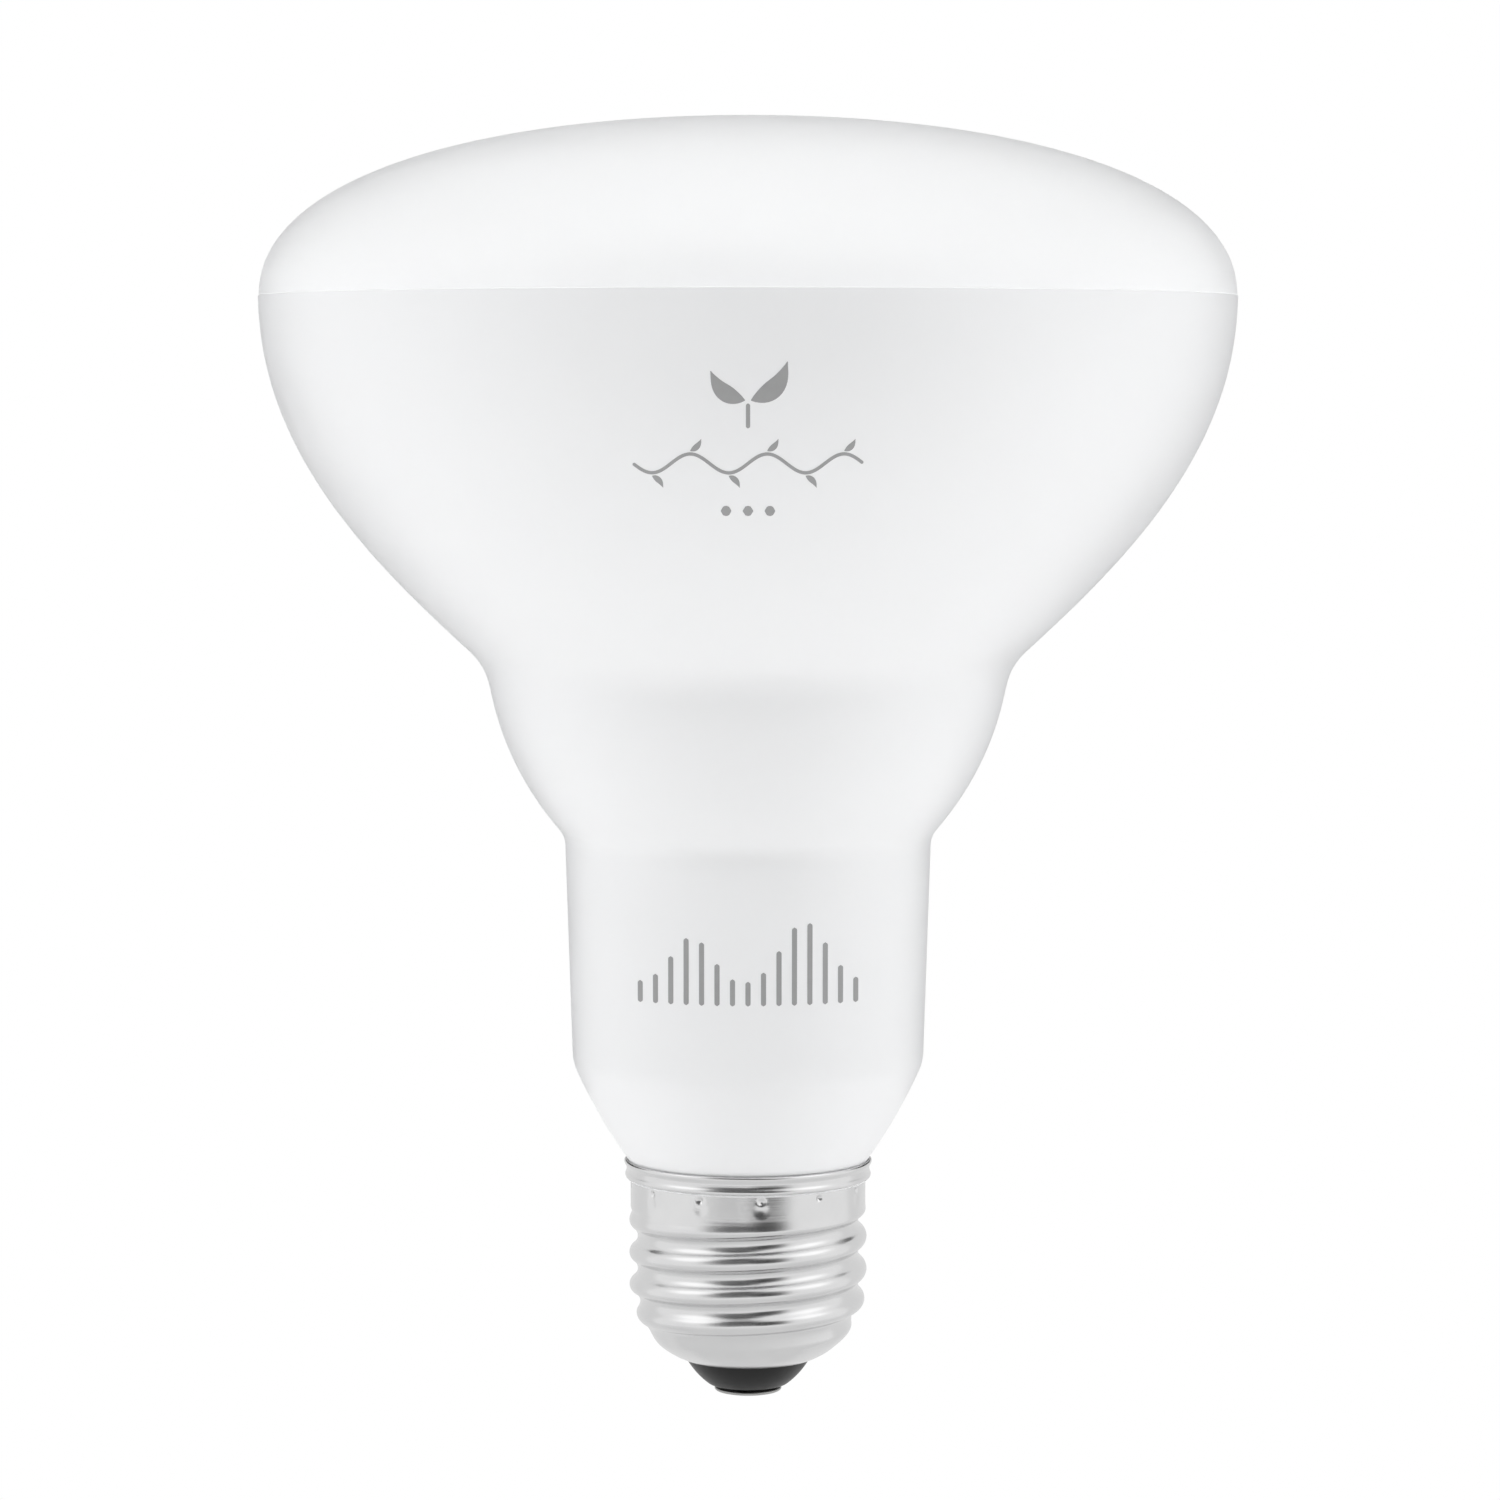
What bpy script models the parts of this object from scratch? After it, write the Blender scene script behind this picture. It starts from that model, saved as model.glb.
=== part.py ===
"""A reflector-shaped LED grow bulb on an E26 screw base.

The bulb stands on the tip of its centre contact, which is the origin, with +Z along its axis.
From the tip up it is a contact, a black insulator, a rolled screw shell, a white housing and a
domed diffuser. The screw shell is the piece that takes the most care: a thin pressed wall with a
beaded lip, twelve stake dents, a rolled right-hand thread that runs out at both ends, and a
rounded bottom that turns in to hold the insulator.
"""

import math

import bmesh
import bpy

# Clearance between pieces that meet
FIT_GAP = 0.0003

# Screw shell, E26: 7 threads to the inch
THREAD_PITCH = 0.003629
CREST_RADIUS = 0.01315
THREAD_DEPTH = 0.00093
SHELL_WALL = 0.0003
SHELL_HEIGHT = 0.02225
SHELL_BEND_RADIUS = 0.0090
SHELL_HOLE_RADIUS = 0.00725
SKIRT_HEIGHT = 0.0035
SKIRT_STEP = 0.00015
THREAD_START = math.radians(115)
THREAD_RUN_IN = 0.0015
THREAD_FADE = 0.0050
THREAD_END_DROP = 0.00625

# Lip of the screw shell: two beads that stand out from a shallow band between them
LIP_HEIGHT = 0.0022
BAND_STEP = 0.00045
TOP_BEAD_RISE = 0.00025
TOP_BEAD_WIDTH = 0.0007
LOWER_BEAD_RISE = 0.00015
LOWER_BEAD_WIDTH = 0.0005

# Stake dents: a round punch mark with a softer hollow below it
STAKE_COUNT = 12
STAKE_PHASE = math.radians(6.5)
STAKE_DROP = 0.00065
PUNCH_RADIUS = 0.0005
PUNCH_DEPTH = 0.0005
HOLLOW_DROP = 0.0010
HOLLOW_RADIUS = 0.0010
HOLLOW_DEPTH = 0.00025

# Centre contact
CONTACT_RADIUS = 0.00375
CONTACT_FLAT_RADIUS = 0.0012
CONTACT_DOME_RISE = 0.00045
CONTACT_CURVE_RADIUS = 0.0120
CONTACT_EDGE = 0.00035
STEM_RADIUS = 0.0012
STEM_STANDS_PROUD = 0.0005

# Insulator
INSULATOR_TIP_MARGIN = 0.0005
INSULATOR_RISE = 0.00305
INSULATOR_CURVE_RADIUS = 0.0090

# Housing, from the cap up
MOUTH_DEPTH = 0.0006
TAPER_HEIGHT = 0.0109
TAPER_CURVE_RADIUS = 0.0590
NECK_LOWER_RADIUS = 0.01935
NECK_HEIGHT = 0.0250
NECK_UPPER_RADIUS = 0.02015
BULGE_HEIGHT = 0.0187
BULGE_UPPER_RADIUS = 0.0287
BULGE_CURVE_RADIUS = 0.0330
REFLECTOR_HEIGHT = 0.0404
REFLECTOR_ANGLE = math.radians(47.8)
REFLECTOR_LOWER_REACH = 0.0157
REFLECTOR_UPPER_REACH = 0.0174
BODY_RADIUS = 0.0533
RIM_WALL = 0.0021
REBATE_DEPTH = 0.0030
SEAM_CHAMFER = 0.0002

# Diffuser
DIFFUSER_STEP = 0.0001
DOME_HEIGHT = 0.0191
DOME_CROWN_REACH = 0.0303
DOME_SHOULDER_REACH = 0.0124

# Fineness of the meshes
BODY_SEGMENTS = 56
CAP_SEGMENTS = 36
ROWS_PER_TURN = 6
PLAIN_BEND_ROWS = 3
MERGE_DISTANCE = 1e-6

# Radii and heights that follow from the sizes above
SKIRT_RADIUS = CREST_RADIUS - SKIRT_STEP
BAND_RADIUS = SKIRT_RADIUS + BAND_STEP
INSULATOR_BOTTOM = CONTACT_DOME_RISE + CONTACT_EDGE + FIT_GAP
SHELL_BOTTOM = INSULATOR_BOTTOM + INSULATOR_RISE
BEND_CENTRE_RADIUS = CREST_RADIUS - SHELL_BEND_RADIUS
BEND_ANGLE = math.acos((SHELL_HOLE_RADIUS - BEND_CENTRE_RADIUS) / SHELL_BEND_RADIUS)
BEND_HEIGHT = SHELL_BOTTOM + SHELL_BEND_RADIUS * math.sin(BEND_ANGLE)
THREAD_END_ANGLE = math.asin(THREAD_END_DROP / SHELL_BEND_RADIUS)
LIP_TOP = SHELL_BOTTOM + SHELL_HEIGHT
LIP_FOOT = LIP_TOP - LIP_HEIGHT
THREAD_TOP = LIP_FOOT - SKIRT_HEIGHT
STAKE_HEIGHT = LIP_FOOT - STAKE_DROP
NECK_BOTTOM = LIP_TOP + TAPER_HEIGHT
NECK_TOP = NECK_BOTTOM + NECK_HEIGHT
BULGE_TOP = NECK_TOP + BULGE_HEIGHT
RIM = BULGE_TOP + REFLECTOR_HEIGHT
SEAM = RIM + FIT_GAP
CROWN = SEAM + DOME_HEIGHT


def clear_scene():
    for obj in list(bpy.data.objects):
        bpy.data.objects.remove(obj, do_unlink=True)


def make_material(name, colour, roughness, metallic=0.0):
    material = bpy.data.materials.new(name)
    material.use_nodes = True
    shader = material.node_tree.nodes["Principled BSDF"]
    shader.inputs["Base Color"].default_value = (*colour, 1.0)
    shader.inputs["Roughness"].default_value = roughness
    shader.inputs["Metallic"].default_value = metallic
    material.diffuse_color = (*colour, 1.0)
    return material


def add_object(name, bm, material):
    """Turns a bmesh into a smooth-shaded object with one material."""
    bmesh.ops.recalc_face_normals(bm, faces=bm.faces)
    mesh = bpy.data.meshes.new(name)
    bm.to_mesh(mesh)
    bm.free()
    mesh.shade_smooth()
    mesh.set_sharp_from_angle(angle=math.radians(35))
    mesh.materials.append(material)
    obj = bpy.data.objects.new(name, mesh)
    bpy.context.scene.collection.objects.link(obj)
    return obj


def arc(start, end, radius, steps):
    """Points after start up to end, on an arc that bulges away from the axis."""
    (r0, z0), (r1, z1) = start, end
    chord = math.hypot(r1 - r0, z1 - z0)
    depth = math.sqrt(radius**2 - chord**2 / 4)
    inward = ((z1 - z0) / chord, (r0 - r1) / chord)
    centre_r = (r0 + r1) / 2 + inward[0] * depth
    centre_z = (z0 + z1) / 2 + inward[1] * depth
    first = math.atan2(z0 - centre_z, r0 - centre_r)
    last = math.atan2(z1 - centre_z, r1 - centre_r)
    angles = [first + (last - first) * i / steps for i in range(1, steps + 1)]
    return [(centre_r + radius * math.cos(a), centre_z + radius * math.sin(a)) for a in angles]


def cubic(start, leave, arrive, end, steps):
    """Points after start up to end, on the cubic curve with these two handles."""
    points = []
    for i in range(1, steps + 1):
        t = i / steps
        weights = ((1 - t) ** 3, 3 * t * (1 - t) ** 2, 3 * t**2 * (1 - t), t**3)
        corners = (start, leave, arrive, end)
        points.append(tuple(sum(w * c[k] for w, c in zip(weights, corners)) for k in (0, 1)))
    return points


def turn(name, outline, segments, material):
    """A solid of revolution. The outline runs from the axis at the top to the axis at the bottom."""
    bm = bmesh.new()
    verts = [bm.verts.new((r, 0, z)) for r, z in outline]
    edges = [bm.edges.new(pair) for pair in zip(verts, verts[1:])]
    bmesh.ops.spin(
        bm,
        geom=verts + edges,
        cent=(0, 0, 0),
        axis=(0, 0, 1),
        angle=2 * math.pi,
        steps=segments,
        use_merge=True,
    )
    bmesh.ops.remove_doubles(bm, verts=bm.verts, dist=MERGE_DISTANCE)
    return add_object(name, bm, material)


def smooth_step(value):
    """0 below 0, 1 above 1, and a soft ramp between."""
    t = min(max(value, 0.0), 1.0)
    return t * t * (3 - 2 * t)


def bump(distance, reach):
    """1 at no distance, falling softly to 0 at the reach."""
    return math.cos(math.pi / 2 * min(abs(distance) / reach, 1.0)) ** 2


def lip_radius(z):
    """Outer radius of the lip: the band, the bead on either side of it and the foot below."""
    top_bead = TOP_BEAD_RISE * bump(z - LIP_TOP + TOP_BEAD_WIDTH / 3, TOP_BEAD_WIDTH)
    lower_bead = LOWER_BEAD_RISE * bump(z - LIP_FOOT - LOWER_BEAD_WIDTH, LOWER_BEAD_WIDTH)
    foot = BAND_STEP * smooth_step((z - LIP_FOOT) / (LOWER_BEAD_WIDTH / 2))
    return SKIRT_RADIUS + foot + top_bead + lower_bead


def wall_radius(z):
    """Outer radius of the straight part of the shell, before the thread is rolled in."""
    if z >= LIP_FOOT:
        return lip_radius(z)
    widening = smooth_step((THREAD_TOP + THREAD_RUN_IN / 2 - z) / THREAD_RUN_IN)
    return SKIRT_RADIUS + SKIRT_STEP * widening


def thread_groove(angle, z):
    """Depth of the rolled groove. Its middle is at THREAD_TOP where the angle is THREAD_START."""
    turns = (THREAD_TOP - z) / THREAD_PITCH + (angle - THREAD_START) / (2 * math.pi)
    shape = (1 + math.cos(2 * math.pi * turns)) / 2
    run_in = smooth_step((THREAD_TOP + THREAD_RUN_IN / 3 - z) / THREAD_RUN_IN)
    fade = smooth_step((z - BEND_HEIGHT + THREAD_END_DROP) / THREAD_FADE)
    return THREAD_DEPTH * shape * run_in * fade


def stake_dent(angle, z):
    """Depth of the nearest stake dent at this place on the skirt."""
    spacing = 2 * math.pi / STAKE_COUNT
    offset = (angle - STAKE_PHASE + math.pi / 2 + spacing / 2) % spacing - spacing / 2
    across = offset * SKIRT_RADIUS
    punch = math.hypot(across, z - STAKE_HEIGHT)
    hollow = math.hypot(across, z - STAKE_HEIGHT + HOLLOW_DROP)
    return PUNCH_DEPTH * bump(punch, PUNCH_RADIUS) + HOLLOW_DEPTH * bump(hollow, HOLLOW_RADIUS)


def shell_rows():
    """Heights down the straight wall, closer together where the lip and the dents need it."""
    lip = [LIP_TOP - LIP_HEIGHT * share for share in (0, 0.1, 0.25, 0.4, 0.6, 0.75, 0.88, 1)]
    dents = [STAKE_HEIGHT + PUNCH_RADIUS * share for share in (0.75, 0, -0.75)]
    hollow = [STAKE_HEIGHT - HOLLOW_DROP - HOLLOW_RADIUS * share for share in (0.3, 0.9)]
    first = THREAD_TOP + THREAD_RUN_IN / 2
    count = math.ceil((first - BEND_HEIGHT) / THREAD_PITCH * ROWS_PER_TURN)
    thread = [first + (BEND_HEIGHT - first) * i / count for i in range(count + 1)]
    return lip + dents + hollow + [z for z in thread if z < hollow[-1]]


def bend_rows():
    """Angles down the rounded bottom, in steps as on the wall until the groove has run out."""
    arc_length = SHELL_BEND_RADIUS * THREAD_END_ANGLE
    count = math.ceil(arc_length / THREAD_PITCH * ROWS_PER_TURN)
    threaded = [THREAD_END_ANGLE * i / count for i in range(1, count + 1)]
    rest = (BEND_ANGLE - THREAD_END_ANGLE) / PLAIN_BEND_ROWS
    return threaded + [THREAD_END_ANGLE + rest * i for i in range(1, PLAIN_BEND_ROWS + 1)]


def shell_angles():
    """Angles round the shell: one on each dent, one close on either side and one halfway on."""
    spacing = 2 * math.pi / STAKE_COUNT
    close = 0.7 * HOLLOW_RADIUS / SKIRT_RADIUS
    steps = (-close, 0, close, spacing / 2)
    first = STAKE_PHASE - math.pi / 2
    return [first + spacing * dent + step for dent in range(STAKE_COUNT) for step in steps]


def on_wall(z):
    """The place at each angle on the straight wall at this height."""

    def place(angle):
        r = wall_radius(z) - thread_groove(angle, z) - stake_dent(angle, z)
        return (r * math.cos(angle), r * math.sin(angle), z)

    return place


def on_bend(turned_in):
    """The place at each angle on the rounded bottom, where it has turned in by this angle."""

    def place(angle):
        z = BEND_HEIGHT - SHELL_BEND_RADIUS * math.sin(turned_in)
        bend = SHELL_BEND_RADIUS - thread_groove(angle, z)
        r = BEND_CENTRE_RADIUS + bend * math.cos(turned_in)
        return (r * math.cos(angle), r * math.sin(angle), BEND_HEIGHT - bend * math.sin(turned_in))

    return place


def add_screw_shell(material):
    """The outer face as a ring of points at each height, given its wall by a Solidify."""
    bm = bmesh.new()
    angles = shell_angles()
    places = [on_wall(z) for z in shell_rows()] + [on_bend(turned) for turned in bend_rows()]
    rings = [[bm.verts.new(place(angle)) for angle in angles] for place in places]
    for upper, lower in zip(rings, rings[1:]):
        for i in range(len(angles)):
            j = (i + 1) % len(angles)
            bm.faces.new((upper[i], lower[i], lower[j], upper[j]))
    shell = add_object("screw_shell", bm, material)
    wall = shell.modifiers.new("wall", "SOLIDIFY")
    wall.thickness = SHELL_WALL
    wall.offset = -1
    return shell


def add_centre_contact(material):
    """A shallow domed head with a small flat at its tip, and a stem up through the insulator."""
    head_top = CONTACT_DOME_RISE + CONTACT_EDGE
    stem_top = inside_bend(THREAD_END_ANGLE)[1] + STEM_STANDS_PROUD
    dome_edge = (CONTACT_RADIUS, CONTACT_DOME_RISE)
    outline = [(0, stem_top), (STEM_RADIUS, stem_top), (STEM_RADIUS, head_top)]
    outline += [(CONTACT_RADIUS, head_top), dome_edge]
    outline += arc(dome_edge, (CONTACT_FLAT_RADIUS, 0), CONTACT_CURVE_RADIUS, 4)
    outline += [(0, 0)]
    return turn("centre_contact", outline, CAP_SEGMENTS, material)


def inside_bend(turned_in):
    """The place clear of the inside of the rounded bottom, where it has turned in by this angle."""
    reach = SHELL_BEND_RADIUS - SHELL_WALL - FIT_GAP
    return (BEND_CENTRE_RADIUS + reach * math.cos(turned_in), BEND_HEIGHT - reach * math.sin(turned_in))


def add_insulator(material):
    """Domed below, passing through the shell's hole, with a flange that the shell holds inside."""
    bore = STEM_RADIUS + FIT_GAP
    throat = SHELL_HOLE_RADIUS - FIT_GAP
    reach = SHELL_BEND_RADIUS - SHELL_WALL - FIT_GAP
    flange = inside_bend(THREAD_END_ANGLE)
    throat_top = inside_bend(math.acos((throat - BEND_CENTRE_RADIUS) / reach))
    dome_top = (throat, SHELL_BOTTOM)
    tip = (CONTACT_RADIUS + INSULATOR_TIP_MARGIN, INSULATOR_BOTTOM)
    outline = [(bore, flange[1]), flange, *arc(flange, throat_top, reach, 4), dome_top]
    outline += arc(dome_top, tip, INSULATOR_CURVE_RADIUS, 6)
    outline += [(bore, INSULATOR_BOTTOM), (bore, flange[1])]
    return turn("base_insulator", outline, CAP_SEGMENTS, material)


def add_housing(material):
    """Reflector, bulge, neck and taper, then a stepped collar that enters the screw shell."""
    rebate_radius = BODY_RADIUS - RIM_WALL
    rim = (BODY_RADIUS, RIM - SEAM_CHAMFER)
    bulge_top = (BULGE_UPPER_RADIUS, BULGE_TOP)
    neck_top = (NECK_UPPER_RADIUS, NECK_TOP)
    neck_bottom = (NECK_LOWER_RADIUS, NECK_BOTTOM)
    mouth = (lip_radius(LIP_TOP) - SHELL_WALL - FIT_GAP, LIP_TOP)
    leave = (BODY_RADIUS, RIM - REFLECTOR_UPPER_REACH)
    arrive = (
        BULGE_UPPER_RADIUS + REFLECTOR_LOWER_REACH * math.sin(REFLECTOR_ANGLE),
        BULGE_TOP + REFLECTOR_LOWER_REACH * math.cos(REFLECTOR_ANGLE),
    )
    outline = [(0, RIM - REBATE_DEPTH), (rebate_radius, RIM - REBATE_DEPTH), (rebate_radius, RIM)]
    outline += [(BODY_RADIUS - SEAM_CHAMFER, RIM), rim]
    outline += cubic(rim, leave, arrive, bulge_top, 11)
    outline += arc(bulge_top, neck_top, BULGE_CURVE_RADIUS, 6)
    outline += [neck_bottom, *arc(neck_bottom, mouth, TAPER_CURVE_RADIUS, 4)]
    land_radius = SKIRT_RADIUS - SHELL_WALL - FIT_GAP
    land_bottom = STAKE_HEIGHT + PUNCH_RADIUS + FIT_GAP
    collar_radius = CREST_RADIUS - THREAD_DEPTH - SHELL_WALL - FIT_GAP
    outline += [(land_radius, LIP_TOP - MOUTH_DEPTH), (land_radius, land_bottom)]
    outline += [(collar_radius, land_bottom), (collar_radius, BEND_HEIGHT), (0, BEND_HEIGHT)]
    return turn("housing", outline, BODY_SEGMENTS, material)


def add_diffuser(material):
    """The dome, with a plug below it that sits in the housing's rebate."""
    edge_radius = BODY_RADIUS - DIFFUSER_STEP
    edge = (edge_radius, SEAM + SEAM_CHAMFER)
    plug_radius = BODY_RADIUS - RIM_WALL - FIT_GAP
    plug_bottom = RIM - REBATE_DEPTH + FIT_GAP
    leave = (DOME_CROWN_REACH, CROWN)
    arrive = (edge_radius, SEAM + DOME_SHOULDER_REACH)
    outline = [(0, CROWN), *cubic((0, CROWN), leave, arrive, edge, 10)]
    outline += [(edge_radius - SEAM_CHAMFER, SEAM), (plug_radius, SEAM)]
    outline += [(plug_radius, plug_bottom), (0, plug_bottom)]
    return turn("diffuser", outline, BODY_SEGMENTS, material)


def main():
    clear_scene()
    aluminium = make_material("aluminium", (0.78, 0.78, 0.78), 0.28, metallic=1.0)
    add_centre_contact(make_material("tinned_brass", (0.52, 0.51, 0.49), 0.40, metallic=1.0))
    add_insulator(make_material("black_glass", (0.015, 0.015, 0.016), 0.18))
    add_screw_shell(aluminium)
    add_housing(make_material("white_plastic", (0.86, 0.86, 0.87), 0.30))
    add_diffuser(make_material("frosted_plastic", (0.95, 0.95, 0.95), 0.38))


main()
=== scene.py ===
"""The looks of a reflector-shaped LED grow bulb on its E26 screw base.

Each CAD solid is replaced by a fine mesh of the same form: the dome, the housing, the screw shell,
the insulator and the contact. Three small generic prints sit on the front of the housing.
Sizes are metres, +Z up, with the tip of the contact at the origin, as in the frame.
"""

import math

import bmesh
import bpy
import numpy as np
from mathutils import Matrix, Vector


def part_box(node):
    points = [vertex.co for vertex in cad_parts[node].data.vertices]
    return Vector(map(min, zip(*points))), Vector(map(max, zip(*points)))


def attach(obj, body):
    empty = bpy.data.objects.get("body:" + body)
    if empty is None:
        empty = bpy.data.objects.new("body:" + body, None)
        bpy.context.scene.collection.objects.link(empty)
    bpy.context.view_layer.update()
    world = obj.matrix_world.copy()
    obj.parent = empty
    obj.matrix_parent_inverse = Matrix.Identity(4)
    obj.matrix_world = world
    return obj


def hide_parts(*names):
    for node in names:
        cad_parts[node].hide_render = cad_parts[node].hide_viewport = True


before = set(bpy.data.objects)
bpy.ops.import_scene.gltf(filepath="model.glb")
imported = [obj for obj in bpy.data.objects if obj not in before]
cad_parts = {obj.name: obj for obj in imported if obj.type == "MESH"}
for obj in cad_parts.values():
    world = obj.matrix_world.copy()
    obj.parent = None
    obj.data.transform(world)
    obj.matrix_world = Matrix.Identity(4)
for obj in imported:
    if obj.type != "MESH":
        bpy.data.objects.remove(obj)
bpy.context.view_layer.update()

# Places read from the frame
BODY_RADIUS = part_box("housing")[1][0]
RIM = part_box("housing")[1][2]
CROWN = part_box("diffuser")[1][2]
LIP_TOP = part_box("screw_shell")[1][2]
SHELL_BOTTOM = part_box("screw_shell")[0][2]
INSULATOR_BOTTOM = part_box("base_insulator")[0][2]
CONTACT_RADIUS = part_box("centre_contact")[1][0]

# Housing, from the rim down
RIM_WALL = 0.0021
REBATE_DEPTH = 0.0030
REFLECTOR_HEIGHT = 0.0404
REFLECTOR_ANGLE = math.radians(47.8)
REFLECTOR_LOWER_REACH = 0.0157
REFLECTOR_UPPER_REACH = 0.0174
BULGE_HEIGHT = 0.0187
BULGE_UPPER_RADIUS = 0.0287
BULGE_CURVE_RADIUS = 0.0330
NECK_UPPER_RADIUS = 0.02015
NECK_LOWER_RADIUS = 0.01935
TAPER_HEIGHT = 0.0109
TAPER_CURVE_RADIUS = 0.0590
CORNER_SOFTNESS = 0.0010
BULGE_SOFTNESS = 0.0022
MOUTH_CLEARANCE = 0.00006

# Dome
DOME_STEP = 0.0001
DOME_CROWN_REACH = 0.0303
DOME_SHOULDER_REACH = 0.0124
SEAM_GAP = 0.00003
SEAM_ROUNDING = 0.00004

# Screw shell
THREAD_PITCH = 0.003629
THREAD_DEPTH = 0.00093
CREST_RADIUS = 0.01315
SHELL_WALL = 0.0003
SHELL_BEND_RADIUS = 0.0090
SHELL_HOLE_RADIUS = 0.00725
SKIRT_STEP = 0.00015
SKIRT_HEIGHT = 0.0035
THREAD_START = math.radians(115)
THREAD_RUN_IN = 0.0015
THREAD_FADE = 0.0050
THREAD_END_DROP = 0.0077
LIP_HEIGHT = 0.0022
BAND_STEP = 0.00045
TOP_BEAD_RISE = 0.00025
TOP_BEAD_WIDTH = 0.0007
LOWER_BEAD_RISE = 0.00015
LOWER_BEAD_WIDTH = 0.0005

# Stake dents
STAKE_COUNT = 12
STAKE_PHASE = math.radians(6.5)
STAKE_DROP = 0.00065
PUNCH_RADIUS = 0.00055
PUNCH_DEPTH = 0.00028
HOLLOW_DROP = 0.0010
HOLLOW_RADIUS = 0.0010
HOLLOW_DEPTH = 0.0001
STAKE_REACH = 0.0016

# Contact and insulator
CONTACT_FLAT_RADIUS = 0.0012
CONTACT_DOME_RISE = 0.00045
CONTACT_CURVE_RADIUS = 0.0120
CONTACT_EDGE = 0.00035
CONTACT_STEM_RADIUS = 0.0012
CONTACT_SOFTNESS = 0.0003
INSULATOR_TIP_MARGIN = 0.0005
INSULATOR_CURVE_RADIUS = 0.0090
INSULATOR_SOFTNESS = 0.0003
FIT_GAP = 0.0003

# Prints on the front of the housing
PRINT_RISE = 0.00002
PRINT_SINK = 0.00006
PRINT_LINE = 0.00021
SPROUT_FOOT = 0.1075
SPROUT_HEIGHT = 0.0066
SPROUT_GAP = 0.0003
SPROUT_FORK_SHARE = 0.42
SPROUT_LEAF_SAG = 0.16
LEFT_LEAF_SHARE = 0.86
LEFT_LEAF_REACH = 0.0037
LEFT_LEAF_HALF = 0.00085
RIGHT_LEAF_REACH = 0.0039
RIGHT_LEAF_HALF = 0.00095
VINE_HEIGHT = 0.1040
VINE_HALF = 0.0115
VINE_WAVE = 0.00095
VINE_WAVES = 3
VINE_LINE = PRINT_LINE * 0.8
VINE_LEAF_GAP = 0.0003
VINE_LEAF_REACH = 0.0011
VINE_LEAF_RISE = 0.0012
VINE_LEAF_HALF = 0.0003
VINE_LEAF_SAG = 0.12
DOT_HEIGHT = 0.0992
DOT_SPACING = 0.0022
DOT_RADIUS = 0.00052
BARS_FOOT = 0.0458
BAR_COUNT = 15
BAR_SPACING = 0.00165
BAR_LEAST = 0.0022
BAR_LINE = PRINT_LINE * 1.3
# Rise of each hump, then its middle and its width as shares of the row
BAR_HUMPS = ((0.0052, 0.24, 0.13), (0.0068, 0.76, 0.15))

# Radii and heights that follow
BULGE_TOP = RIM - REFLECTOR_HEIGHT
NECK_TOP = BULGE_TOP - BULGE_HEIGHT
NECK_BOTTOM = LIP_TOP + TAPER_HEIGHT
SEAM = RIM + SEAM_GAP
LIP_FOOT = LIP_TOP - LIP_HEIGHT
THREAD_TOP = LIP_FOOT - SKIRT_HEIGHT
THREAD_ARC_RADIUS = ((THREAD_PITCH / 2) ** 2 + THREAD_DEPTH**2) / (4 * THREAD_DEPTH)
STAKE_HEIGHT = LIP_FOOT - STAKE_DROP
SKIRT_RADIUS = CREST_RADIUS - SKIRT_STEP
BEND_CENTRE_RADIUS = CREST_RADIUS - SHELL_BEND_RADIUS
BEND_ANGLE = math.acos((SHELL_HOLE_RADIUS - BEND_CENTRE_RADIUS) / SHELL_BEND_RADIUS)
BEND_HEIGHT = SHELL_BOTTOM + SHELL_BEND_RADIUS * math.sin(BEND_ANGLE)

# Fineness
BODY_SEGMENTS = 256
TIP_SEGMENTS = 128
DOME_STEPS = 64
REFLECTOR_STEPS = 160
BULGE_STEPS = 60
TAPER_STEPS = 30
INSULATOR_STEPS = 24
CONTACT_STEPS = 16
LIP_EDGE_STEPS = 6
DENT_STEPS = 8
BETWEEN_DENTS_STEPS = 10
LEAF_STEPS = 16
WAVE_STEPS = 120
ROW_STEP = 0.0001
BEND_STEP = 0.00013
THIN_TOLERANCE = 0.000002

# Camera: the photo's view, 1500 pixels square
CAMERA_DISTANCE = 0.530
CAMERA_HEIGHT = 0.1124
CAMERA_PITCH = math.radians(4.395)
CAMERA_LENS = 115.90
CAMERA_SENSOR = 36.0
FRAME_PIXELS = 1500
AXIS_COLUMN = 748
CAMERA_REACH = 50

# Studio
FLOOR_DROP = 0.06
STUDIO_HALF = 6.0
STUDIO_MIDDLE = (0, 0, 0.08)
WORLD_FILL = 0.05
FLOOR_GLOW = 0.53
# Near the middle, the seen floor is only partly white emission over its lit and shadowed face, and that
# emission is dimmed below white, a painted shadow under the bulb. Both fade to full white between the
# distances of the fade.
FLOOR_SHARE = 0.85
FLOOR_PAINTED_SHADOW_WHITE = 0.72
FLOOR_FADE = (0.07, 0.2)
SOFTBOX_DISTANCE = 0.95
SOFTBOX_TINT = (0.985, 0.992, 1.0)
# Each pair of softboxes: name, azimuth from the front, elevation, width and watts
SOFTBOXES = (
    ("front", 12, 30, 0.35, 0.25),
    ("side", 68, 33, 0.5, 4.1),
    ("high", 60, 60, 0.4, 1.1),
)
GLOW_CARD_SIZE = (1.0, 1.0)
GLOW_CARD_STRENGTH = 1.4
FLAG_AZIMUTH = 148
FLAG_DISTANCE = 0.2
FLAG_HEIGHT = 0.085
FLAG_SIZE = (0.32, 0.4)
FLAG_GREY = 0.04
COLLAR_RADIUS = 0.026
COLLAR_SPAN = (-0.03, 0.029)
COLLAR_GLOW = 0.85
COLLAR_STEPS = 32
CARD_FADE_END = 0.6
LOW_CARD_LIFT = 0.001
LOW_CARD_HEIGHT = LOW_CARD_LIFT - FLOOR_DROP
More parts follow.
